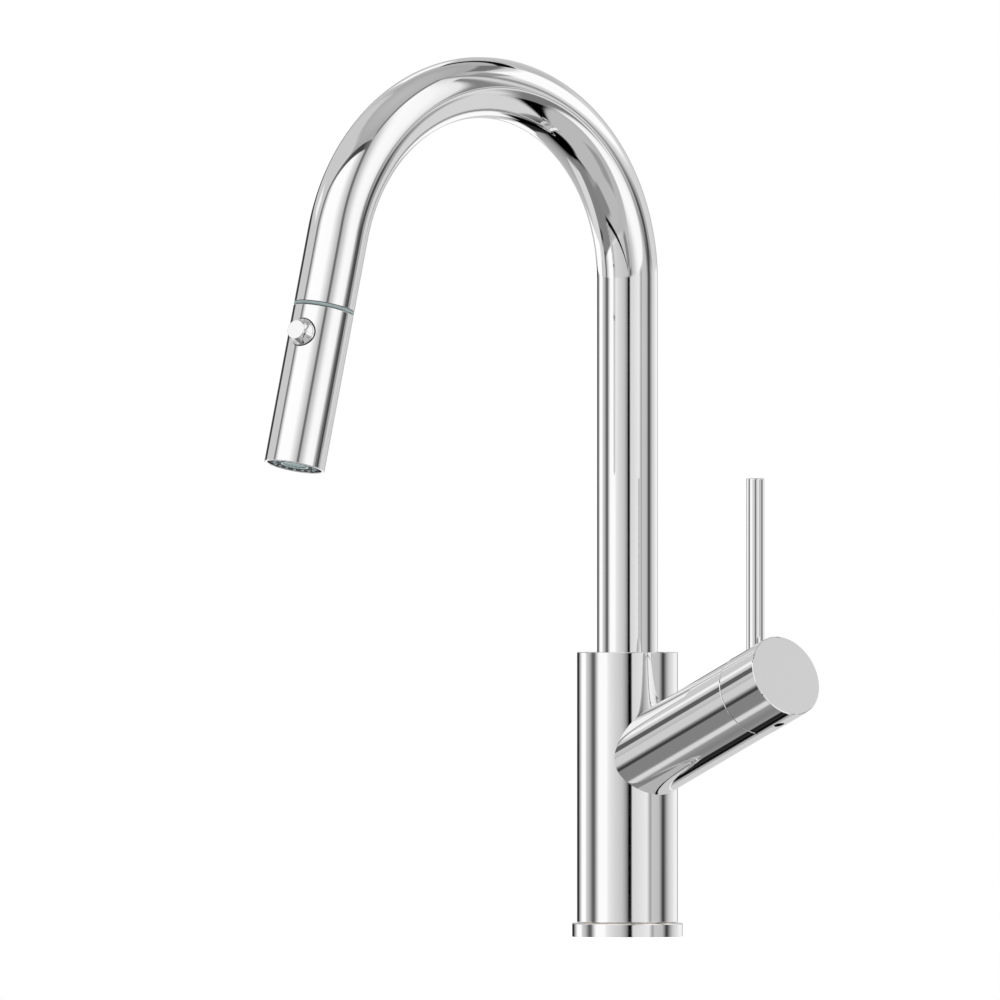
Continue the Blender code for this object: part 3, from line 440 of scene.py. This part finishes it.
def ringOfPoints(bm, radius, height, sides):
    # a circle whose points remember where they are round it
    layer = bm.verts.layers.float_vector.get("around") or bm.verts.layers.float_vector.new("around")
    circle = bmesh.ops.create_circle(bm, cap_ends=False, segments=sides, radius=radius,
                                     matrix=Matrix.Translation((0, 0, height)))
    for vert in circle["verts"]:
        vert[layer] = Vector((vert.co.x / radius, vert.co.y / radius, 0))
    return list({edge for vert in circle["verts"] for edge in vert.link_edges})


def swanTube(bm, radius, low, end, sides, arcSteps, endSteps=1, lowSteps=1):
    # a circle drawn up, spun round the arch and drawn on to its end; returns the two open rims
    first = ringOfPoints(bm, radius, low, sides)
    edges = drawOut(bm, first, Vector((0, 0, tap["arcStart"] - low)), lowSteps)
    spun = bmesh.ops.spin(bm, geom=edges, cent=(0, -tap["arcRadius"], tap["arcStart"]), axis=(1, 0, 0),
                          angle=arcAngle, steps=arcSteps)
    edges = [g for g in spun["geom_last"] if isinstance(g, bmesh.types.BMEdge)]
    return first, drawOut(bm, edges, headAlong * end, endSteps)


def closeRing(bm, outerEdges, innerEdges):
    inner = {vert for edge in innerEdges for vert in edge.verts}
    for edge in outerEdges:
        a, b = edge.verts
        nearA, nearB = (min(inner, key=lambda v, p=p: (v.co - p.co).length) for p in (a, b))
        bm.faces.new((a, b, nearB, nearA))


spout = {"low": 0.121531, "end": 0.037, "wall": 0.001, "sides": 96, "arcSteps": 110, "edge": 0.00015,
         "sharp": 60}


def makeSpout():
    bm = bmesh.new()
    rims = [swanTube(bm, radius, spout["low"], spout["end"], spout["sides"], spout["arcSteps"])
            for radius in (tap["tubeRadius"], tap["tubeRadius"] - spout["wall"])]
    for outer, inner in zip(*rims):
        closeRing(bm, outer, inner)
    bmesh.ops.recalc_face_normals(bm, faces=bm.faces)
    ends = [e for e in bm.edges if e.calc_face_angle(0) > math.radians(spout["sharp"])]
    bmesh.ops.bevel(bm, geom=ends, offset=spout["edge"], offset_type="OFFSET", affect="EDGES", segments=2,
                    profile=0.5, material=-1)
    addPiece("spoutTube", bm, "chrome", "spout", replaced=["spout_tube"])


dock = {"bore": 0.0076, "low": 0.017, "seam": 0.0373, "flange": 0.0014, "inside": 0.0137, "flare": 0.0014,
        "flareDepth": 0.002, "step": 0.0004, "inset": 0.0003, "edge": 0.00008}


def makeDock():
    # the lined mouth of the spout, with the coloured flange that shows at the seam
    r, low = tap["tubeRadius"], dock["low"]
    seam, top = dock["seam"], dock["seam"] + dock["flange"]
    step, within = top - dock["step"], r - dock["inset"]
    bm = lathe([(dock["bore"] + dock["flare"], low), (dock["inside"], low), (dock["inside"], seam), (r, seam),
                (r, step), (within, step), (within, top), (dock["bore"], top),
                (dock["bore"], low + dock["flareDepth"])], 128)
    softenEdges(bm, dock["edge"], 2, 40)
    addPiece("dockBush", bm, "grey_plastic", "spout", alongHead, ["dock_bush"])


hose = {"radius": 0.0045, "low": 0.0146, "cut": 0.001, "end": 0.0187, "pulledTo": 0.0175, "sides": 32,
        "lowSteps": 12, "arcSteps": 60, "endSteps": 60}


def closeHose(bm, rims):
    for rim in rims:
        bmesh.ops.holes_fill(bm, edges=rim, sides=0)
    bmesh.ops.recalc_face_normals(bm, faces=bm.faces)


def makeHose():
    # the length in the spout stays where it is
    bm = bmesh.new()
    closeHose(bm, swanTube(bm, hose["radius"], hose["low"], hose["cut"], hose["sides"], hose["arcSteps"],
                           lowSteps=hose["lowSteps"]))
    addPiece("sprayHose", bm, "hose_braid", "spout", replaced=["spray_hose"], weighted=False)
    # and its straight end is drawn out along the head
    bm = bmesh.new()
    first = ringOfPoints(bm, hose["radius"], hose["cut"], hose["sides"])
    last = drawOut(bm, first, Vector((0, 0, hose["end"] - hose["cut"])), hose["endSteps"])
    closeHose(bm, (first, last))
    piece = addPiece("drawnHose", bm, "hose_braid", None, alongHead, weighted=False)
    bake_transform(piece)


ferrule = {"radius": 0.0062, "low": 0.019, "length": 0.016, "edge": 0.0005, "grooves": 4, "first": 0.0025,
           "pitch": 0.0022, "groove": ((0, 0), (0.0005, 0.0004), (0.0005, 0.0009), (0, 0.0013))}


def makeFerrule():
    low, high, r = ferrule["low"], ferrule["low"] + ferrule["length"], ferrule["radius"]
    edge = ferrule["edge"]
    outline = [(0, low), (r - edge, low), (r, low + edge)]
    for i in range(ferrule["grooves"]):
        start = low + ferrule["first"] + i * ferrule["pitch"]
        outline += [(r - inward, start + along) for inward, along in ferrule["groove"]]
    outline += [(r, high - edge), (r - edge, high), (0, high)]
    addPiece("hoseFerrule", lathe(outline, 64), "steel", "hose_end", alongHead, ["hose_ferrule"])


makeSpout()
makeDock()
makeHose()
makeFerrule()
print("spout, dock and hose")


head = {"top": 0.039, "length": 0.079, "bore": 0.0134, "inside": 0.0131, "recess": 0.0009, "edge": 0.00035,
        "buttonPlace": 0.0142, "buttonHole": 0.0072, "holeFrom": 0.002, "holeTo": 0.03}
faceHeight = head["top"] + head["length"] - head["recess"]
buttonHeight = head["top"] + head["buttonPlace"]
sideways = Matrix.Rotation(math.radians(90), 4, "Y")
alongButton = turnedHead @ Matrix.Translation((0, 0, buttonHeight)) @ sideways


def makeHead():
    low, high, r = head["top"], head["top"] + head["length"], tap["tubeRadius"]
    bm = ring(head["bore"], r, low, high, 192)
    softenEdges(bm, head["edge"], 3)
    moved(bm, turnedHead)
    bm = carve(bm, moved(rod(head["buttonHole"], head["holeFrom"], head["holeTo"], 128), alongButton))
    addPiece("sprayShell", bm, "chrome", "spray_head", replaced=["spray_shell"], over=35)


button = {"face": 0.00485, "faceHeight": 0.0203, "base": 0.0068, "flare": 0.0051, "foot": 0.0125,
          "stem": 0.002, "spool": 0.0185, "edge": 0.0003, "hollow": 0.00035, "step": 0.0002, "steps": 10}


def makeButton():
    top, foot = button["faceHeight"], button["foot"]
    flareLow = top - button["flare"]
    # the flank curves in a little on its way up from the base to the face
    flank = []
    for i in range(button["steps"] + 1):
        t = i / button["steps"]
        inward = button["hollow"] * math.sin(math.pi * t)
        radius = button["base"] + (button["face"] - button["base"]) * t - inward
        flank.append((radius, flareLow + (top - button["edge"] - flareLow) * t))
    spool = foot - button["spool"]
    outline = [(0, spool), (button["stem"], spool), (button["stem"], foot), (button["base"], foot),
               (button["base"], flareLow - button["step"])]
    outline += flank + [(button["face"] - button["edge"], top), (0, top)]
    addPiece("button", lathe(outline, 128), "chrome", "button", alongButton, ["button"], over=38)


spring = {"turns": 4, "radius": 0.0034, "wire": 0.0003, "low": 0.0072, "high": 0.0119, "steps": 32,
          "sides": 10}


def makeSpring():
    # a coil of round wire between the seal and the button's foot
    bm = bmesh.new()
    rows = []
    count = spring["turns"] * spring["steps"]
    for i in range(count + 1):
        a = 2 * math.pi * i / spring["steps"]
        height = spring["low"] + (spring["high"] - spring["low"]) * i / count
        row = []
        for k in range(spring["sides"]):
            b = 2 * math.pi * k / spring["sides"]
            out = spring["radius"] + spring["wire"] * math.cos(b)
            lift = height + spring["wire"] * math.sin(b)
            row.append(bm.verts.new((out * math.cos(a), out * math.sin(a), lift)))
        rows.append(row)
    for row, after in zip(rows, rows[1:]):
        for k in range(spring["sides"]):
            j = (k + 1) % spring["sides"]
            bm.faces.new((row[k], row[j], after[j], after[k]))
    bm.faces.new(rows[0])
    bm.faces.new(rows[-1])
    bmesh.ops.recalc_face_normals(bm, faces=bm.faces)
    piece = addPiece("buttonSpring", bm, "steel", None, alongButton, ["button_spring"], weighted=False)
    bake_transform(piece)


face = {"plate": 0.003, "inner": 0.0073, "edge": 0.0002, "nozzles": 16, "radius": 0.00085, "out": 0.0007,
        "mat": 0.0018, "gap": 0.0003, "sink": 0.0005, "past": 0.001,
        "tip": ((1, 0.0005), (0.82, 0.00015), (0.6, 0), (0.34, 0), (0.30, 0.0008), (0, 0.0008))}


def roundTheFace():
    middle = (face["inner"] + head["inside"]) / 2
    for k in range(face["nozzles"]):
        a = 2 * math.pi * (k + 0.5) / face["nozzles"]
        yield Matrix.Translation((middle * math.cos(a), middle * math.sin(a), 0))


def join(target, source):
    mesh = toMesh("joined", source)
    target.from_mesh(mesh)
    bpy.data.meshes.remove(mesh)
    return target


def makeFace():
    low, high = faceHeight - face["plate"], faceHeight
    plate = ring(face["inner"], head["inside"], low, high, 128)
    softenEdges(plate, face["edge"], 2)
    holes = bmesh.new()
    nubs = bmesh.new()
    matLow = low - face["gap"] - face["mat"]
    r, tip = face["radius"], faceHeight + face["out"]
    nub = [(0, matLow + face["sink"]), (r, matLow + face["sink"])]
    nub += [(r * share, tip - drop) for share, drop in face["tip"]]
    for place in roundTheFace():
        join(holes, moved(rod(r + face["gap"], matLow, high + face["past"], 24), place))
        join(nubs, moved(lathe(nub, 20), place))
    addPiece("facePlate", carve(plate, holes), "dark_plastic", "spray_head", turnedHead, ["face_plate"])
    mat = ring(face["inner"], head["inside"], matLow, matLow + face["mat"])
    addPiece("nozzleMat", carve(mat, nubs, "UNION"), "silicone", "spray_head", turnedHead, ["nozzle_mat"])


aerator = {"radius": 0.007, "wall": 0.0011, "length": 0.012, "out": 0.0002, "notches": 12,
           "notch": (0.0008, 0.0009, 0.0010), "grid": 0.00085, "wire": 0.00022, "trim": 0.0004,
           "screenDepth": 0.0006}


def makeAerator():
    low, high = faceHeight - aerator["length"], faceHeight + aerator["out"]
    bore = aerator["radius"] - aerator["wall"]
    housing = ring(bore, aerator["radius"], low, high, 120)
    notches = bmesh.new()
    for k in range(aerator["notches"]):
        notch = bmesh.new()
        bmesh.ops.create_cube(notch, size=1.0)
        bmesh.ops.scale(notch, vec=aerator["notch"], verts=notch.verts)
        bmesh.ops.translate(notch, vec=(aerator["radius"], 0, high), verts=notch.verts)
        turn = Matrix.Rotation(2 * math.pi * k / aerator["notches"], 4, "Z")
        join(notches, moved(notch, turn))
    addPiece("aeratorHousing", carve(housing, notches), "grey_plastic", "spray_head", turnedHead,
             ["aerator_housing"])
    # a square mesh of wires, trimmed to the bore
    screen = bmesh.new()
    count = int(2 * bore / aerator["grid"])
    bmesh.ops.create_grid(screen, x_segments=count, y_segments=count, size=count * aerator["grid"] / 2)
    outside = [f for f in screen.faces if f.calc_center_median().length > bore - aerator["trim"]]
    bmesh.ops.delete(screen, geom=outside, context="FACES")
    bmesh.ops.wireframe(screen, faces=screen.faces, thickness=aerator["wire"], use_replace=True,
                        use_boundary=True, use_even_offset=True)
    bmesh.ops.translate(screen, vec=(0, 0, faceHeight - aerator["screenDepth"]), verts=screen.verts)
    bmesh.ops.recalc_face_normals(screen, faces=screen.faces)
    addPiece("aeratorScreen", screen, "grey_plastic", "spray_head", turnedHead, ["aerator_screen"],
             weighted=False)


makeHead()
makeButton()
makeSpring()
makeFace()
makeAerator()
print("spray head")


cap = {"radius": 0.02075, "low": 0.0203, "length": 0.0264, "chamfer": 0.0005, "dish": 0.028497, "lip": 0.02,
       "socket": 0.0039, "socketDepth": 0.0095, "grub": 0.0331, "grubRadius": 0.0026, "stem": 0.0036,
       "rounding": 0.35, "steps": 16, "past": 0.01, "pinHole": 0.03}
pin = {"radius": 0.00445, "length": 0.0886, "gap": 0.0003, "edge": 0.0006, "x": 0.096905, "z": 0.137654}
alongPin = Matrix.Translation((pin["x"], 0, pin["z"]))


def makeCap():
    low, high, r = cap["low"], cap["low"] + cap["length"], cap["radius"]
    first, last = math.asin(cap["lip"] / cap["dish"]), math.asin(cap["socket"] / cap["dish"])
    hollow = arc(cap["dish"], first, last, cap["steps"])
    floor = cap["dish"] + cap["socketDepth"]
    c, rounding = cap["chamfer"], cap["chamfer"] * cap["rounding"]
    bm = lathe([(0, high), (r - c, high), (r - rounding, high - rounding), (r, high - c), (r, low)] + hollow
               + [(cap["socket"], floor), (0, floor)], 256)
    moved(bm, alongHandle)
    grub = rod(cap["grubRadius"], cap["stem"], r + cap["past"], 64)
    bm = carve(bm, moved(grub, alongHandle @ Matrix.Translation((0, 0, cap["grub"])) @ sideways))
    bm = carve(bm, moved(rod(pin["radius"] + pin["gap"], 0, cap["pinHole"]), alongPin))
    addPiece("handleCap", bm, "chrome", "lever", replaced=["handle_cap"], over=20)


def makePin():
    bm = rod(pin["radius"], pin["gap"], pin["gap"] + pin["length"])
    softenEdges(bm, pin["edge"], 4)
    addPiece("leverPin", bm, "chrome", "lever", alongPin, ["lever_pin"])


domes = {"wall": 0.0012, "steps": 14, "ringRadius": 0.0146, "ringFrom": 38, "ringTo": 76.5,
         "shieldRadius": 0.0162, "shieldHole": 0.0039, "shieldTo": 58}


def makeDome(name, radius, start, end, owner, replaced):
    outer = arc(radius + domes["wall"], start, end, domes["steps"])
    inner = arc(radius, start, end, domes["steps"])[::-1]
    addPiece(name, lathe(outer + inner, 128), "chrome", owner, alongHandle, [replaced])


def makeShields():
    # the two nested domes that close the branch behind the cap
    makeDome("domeRing", domes["ringRadius"], math.radians(domes["ringFrom"]), math.radians(domes["ringTo"]),
             "body", "dome_ring")
    makeDome("stemShield", domes["shieldRadius"], math.asin(domes["shieldHole"] / domes["shieldRadius"]),
             math.radians(domes["shieldTo"]), "lever", "stem_shield")


# painted shade: the size of the dark ring that fills the gap between the branch and the cap
gapShade = {"inner": 0.0190, "outer": 0.0203, "low": 0.0190, "high": 0.0197}


def makeGapShade():
    # a dark ring in the gap between the branch and the cap, given the rubber finish: painted shade that
    # stands for the black shadow line of that gap
    bm = ring(gapShade["inner"], gapShade["outer"], gapShade["low"], gapShade["high"], 192)
    addPiece("gapShadeRing", bm, "rubber", "body", alongHandle)


makeCap()
makeGapShade()
makePin()
makeShields()
print("handle")


studio = {"aim": Vector((-0.0408, -0.0480, 0.2158)), "azimuth": math.radians(49.6), "width": 0.4942,
          "lens": 1500.0, "sensor": 36.0, "near": 0.1, "far": 100}
toCamera = Vector((math.sin(studio["azimuth"]), -math.cos(studio["azimuth"]), 0))
toRight = Vector((math.cos(studio["azimuth"]), math.sin(studio["azimuth"]), 0))


def makeCamera():
    data = bpy.data.cameras.new("camera")
    data.lens = studio["lens"]
    data.sensor_width = studio["sensor"]
    camera = addObject("camera", data)
    distance = studio["width"] * studio["lens"] / studio["sensor"]
    camera.location = studio["aim"] + toCamera * distance
    camera.rotation_euler = (-toCamera).to_track_quat("-Z", "Y").to_euler()
    data.clip_start, data.clip_end = studio["near"], studio["far"]
    bpy.context.scene.camera = camera


paleFloor = {"radius": 0.6, "drop": 0.0002, "tone": 0.9, "roughness": 0.9, "glow": 0.6}


def makeFloor():
    bm = bmesh.new()
    bmesh.ops.create_circle(bm, cap_ends=True, segments=96, radius=paleFloor["radius"],
                            matrix=Matrix.Translation((0, 0, -paleFloor["drop"])))
    floor = addObject("floor", toMesh("floor", bm))
    material, _, shader = startMaterial("paleFloor")
    shader.inputs["Base Color"].default_value = (paleFloor["tone"], paleFloor["tone"], paleFloor["tone"], 1)
    shader.inputs["Roughness"].default_value = paleFloor["roughness"]
    shader.inputs["Emission Color"].default_value = (1, 1, 1, 1)
    shader.inputs["Emission Strength"].default_value = paleFloor["glow"]
    floor.data.materials.append(material)
    floor.visible_glossy = False


# the light exactly at eye level, all the way round: degrees to the right of the camera, brightness there
horizon = [
    (-180, 30), (-152, 40), (-148, 90), (-134, 213), (-128, 255), (-114, 255), (-108, 205), (-99, 185),
    (-88, 95), (-82, 96), (-75, 200), (-69, 252), (-50, 253), (-43, 230), (-30, 213), (-13, 194),
    (-6, 165), (0, 115), (2, 8), (8, 8), (11, 212), (45, 233), (54, 150), (58, 196), (77, 188), (88, 60),
    (93, 80), (99, 150), (110, 203), (140, 242), (156, 235), (172, 90),
]
# plain tones from straight down to straight up: degrees, brightness
backdrop = [
    (-90, 2), (-75, 8), (-70, 105), (-64, 140), (-50, 165), (-15, 185), (20, 195), (45, 185), (60, 165),
    (70, 176), (90, 185),
]
# soft boxes and flags, each laid over those before it: left, right, low and high edges in degrees,
# brightness, softness
flags = [
    (-150, -60, 5, 62, 200, 8),
    (-97, -55, -74, -8, 128, 4),
    (-128, -97, -60, -8, 215, 4),
    (-104, -92, -17, 1, 204, 3),
    (-30, 72, -76, -26, 184, 5),
    (-58, -20, -56, -36, 132, 5),
    (84, 150, -62, 46, 210, 4),
    (94, 132, 14, 42, 253, 5),
    (136, 158, 26, 42, 185, 5),
    (84, 112, -12, 9, 160, 4),
    (90, 101, -8, 6, 74, 4),
    (130, 180, 43, 49, 15, 1.5),
    (100, 132, 47, 56, 115, 3),
    (84, 96, 32, 46, 150, 4),
    (145, 169, -50, -14, 250, 3),
    (169, 181, -39, -4, 203, 3),
    (172, 181, -76, -46, 20, 4),
    (152, 176, -76, -53, 6, 3),
    (-181, -166, -44, -16, 252, 3),
    (-181, -168, -76, -47, 40, 4),
    (-181, -163, 28, 44, 248, 3),
    (-148, -112, -15, 5, 255, 2),
    (-124, -108, 18, 26, 244, 3),
    (-113, -104, 7, 14.5, 92, 2),
    (-91, -79, -15, 7, 98, 1.5),
    (-95, -86, -26, -20, 66, 2),
]
# the dark upright edge between the walls, in three lengths
corner = [
    (73, 81, -27, -5, 120, 4),
    (73, 82, -64, -25, 6, 3),
    (78, 82, 3, 44, 128, 3),
]
# small flags in front of the windows
nearFlags = [
    (2, 12, -19, -5, 132, 3),
    (24, 50, -40, -29, 150, 5),
    (-181, -138, 3, 11, 60, 3),
]
# two big windows, on walls square to each other: wall direction, left and right edges in degrees, low and
# high edges as rise over distance, softness, then the brightness across it
windows = [
    (-25, -92, 18, -0.1, 1.72, 0.06, [(-92, 118), (-50, 80), (-10, 60), (6, 100), (14, 112)]),
    (-25, -86, 8, -0.42, 1.42, 0.06,
     [(-86, 130), (-80, 205), (-70, 255), (-25, 254), (-17, 240), (-2, 206), (7, 182)]),
    (-25, -48, 2, -0.42, 0.10, 0.10, [(-48, 212), (2, 190)]),
    (65, 16, 88, 0.1, 2.45, 0.10, [(16, 110), (24, 120), (88, 125)]),
    (65, 16, 85, -0.36, 1.95, 0.06,
     [(16, 160), (21, 190), (28, 206), (35, 230), (42, 246), (50, 252), (68, 248), (84, 214)]),
]
# a dark strip on the floor, running away towards the camera's side: edges and start as distances over height
floorStrip = {"lean": 0.14, "left": -1.34, "right": -1.08, "soft": 0.08, "start": 0.75, "full": 0.95,
              "brightness": 12}
# how softly the parts of the surroundings meet
meeting = {"wallEdge": 4, "wallNearest": 0.02, "floorFrom": -0.01, "floorFull": -0.03, "eyeLevel": 1.4,
           "eyeSoft": 1.0}
gamma = 2.2
chromeTone = 0.9      # what the chrome gives back of the light


def tone(value):
    # a brightness of 0 to 255 as light
    return (value / 255) ** gamma / chromeTone


def grey(value):
    return (tone(value), tone(value), tone(value))


def ramp(tree, stops, factor):
    node = tree.nodes.new("ShaderNodeValToRGB")
    elements = node.color_ramp.elements
    while len(elements) < len(stops):
        elements.new(0.5)
    for element, (position, value) in zip(elements, stops):
        element.position = position
        element.color = (value, value, value, 1)
    tree.links.new(factor, node.inputs["Fac"])
    return node.outputs["Color"]


def dotWith(tree, vector, direction):
    node = tree.nodes.new("ShaderNodeVectorMath")
    node.operation = "DOT_PRODUCT"
    tree.links.new(vector, node.inputs[0])
    node.inputs[1].default_value = direction
    return node.outputs["Value"]


def softStep(tree, value, low, high):
    # rises softly from 0 at low to 1 at high
    node = tree.nodes.new("ShaderNodeMapRange")
    node.interpolation_type = "SMOOTHSTEP"
    tree.links.new(value, node.inputs["Value"])
    node.inputs["From Min"].default_value = low
    node.inputs["From Max"].default_value = high
    return node.outputs["Result"]


def between(tree, value, low, high, soft):
    rising = softStep(tree, value, low - soft / 2, low + soft / 2)
    falling = softStep(tree, value, high + soft / 2, high - soft / 2)
    return mathNode(tree, "MULTIPLY", rising, falling)


def layFlags(tree, light, around, rise, rows):
    for left, far, low, high, value, soft in rows:
        mask = mathNode(tree, "MULTIPLY", between(tree, around, left, far, soft),
                        between(tree, rise, low, high, soft))
        light = mixColour(tree, mask, light, grey(value))
    return light


def rampRound(tree, around, stops):
    # tones by the angle round the tap, from straight behind to straight behind
    turned = mathNode(tree, "MULTIPLY_ADD", around, 1 / 360, 0.5)
    return ramp(tree, [(a / 360 + 0.5, tone(v)) for a, v in stops], turned)


def makeWorld():
    world = bpy.data.worlds.new("studio")
    bpy.context.scene.world = world
    world.use_nodes = True
    tree = world.node_tree
    background = tree.nodes["Background"]
    coords = tree.nodes.new("ShaderNodeTexCoord").outputs["Generated"]
    right, front, up = (dotWith(tree, coords, v) for v in (toRight, toCamera, Vector((0, 0, 1))))
    around = mathNode(tree, "MULTIPLY", mathNode(tree, "ARCTAN2", right, front), 180 / math.pi)
    rise = mathNode(tree, "MULTIPLY", mathNode(tree, "ARCSINE", up), 180 / math.pi)
    light = ramp(tree, [((a + 90) / 180, tone(v)) for a, v in backdrop],
                 mathNode(tree, "MULTIPLY_ADD", rise, 1 / 180, 0.5))
    light = layFlags(tree, light, around, rise, flags)
    for wall, left, far, low, high, soft, values in windows:
        a = math.radians(wall)
        depth = dotWith(tree, coords, toRight * math.sin(a) + toCamera * math.cos(a))
        above = mathNode(tree, "DIVIDE", up, mathNode(tree, "MAXIMUM", depth, meeting["wallNearest"]))
        mask = mathNode(tree, "MULTIPLY", between(tree, around, left, far, meeting["wallEdge"]),
                        between(tree, above, low, high, soft))
        light = mixColour(tree, mask, light, rampRound(tree, around, values))
    light = layFlags(tree, light, around, rise, nearFlags)
    down = mathNode(tree, "MULTIPLY", up, -1.0)
    away = mathNode(tree, "DIVIDE", front, down)
    across = mathNode(tree, "SUBTRACT", mathNode(tree, "DIVIDE", right, down),
                      mathNode(tree, "MULTIPLY", away, floorStrip["lean"]))
    strip = mathNode(tree, "MULTIPLY",
                     between(tree, across, floorStrip["left"], floorStrip["right"], floorStrip["soft"]),
                     softStep(tree, away, floorStrip["start"], floorStrip["full"]))
    strip = mathNode(tree, "MULTIPLY", strip, softStep(tree, up, meeting["floorFrom"], meeting["floorFull"]))
    light = mixColour(tree, strip, light, grey(floorStrip["brightness"]))
    light = layFlags(tree, light, around, rise, corner)
    level = between(tree, rise, -meeting["eyeLevel"], meeting["eyeLevel"], meeting["eyeSoft"])
    light = mixColour(tree, level, light, rampRound(tree, around, horizon))
    # what is seen straight past the tap stays white
    straight = tree.nodes.new("ShaderNodeLightPath").outputs["Is Camera Ray"]
    seen = mixColour(tree, straight, light, (1, 1, 1))
    tree.links.new(seen, background.inputs["Color"])


overhead = {"size": 2.0, "power": 50, "place": (0, 0, 2.2), "aim": (0, 0, 0.2)}


def makeLight(name, size, power, place, aim):
    data = bpy.data.lights.new(name, "AREA")
    data.size = size
    data.energy = power
    light = addObject(name, data)
    light.location = place
    light.rotation_euler = (Vector(aim) - Vector(place)).to_track_quat("-Z", "Y").to_euler()
    light.visible_glossy = False


makeCamera()
makeFloor()
makeWorld()
makeLight("overhead", **overhead)
bpy.context.scene.view_settings.view_transform = "Standard"
print("studio")

print("all pieces placed")
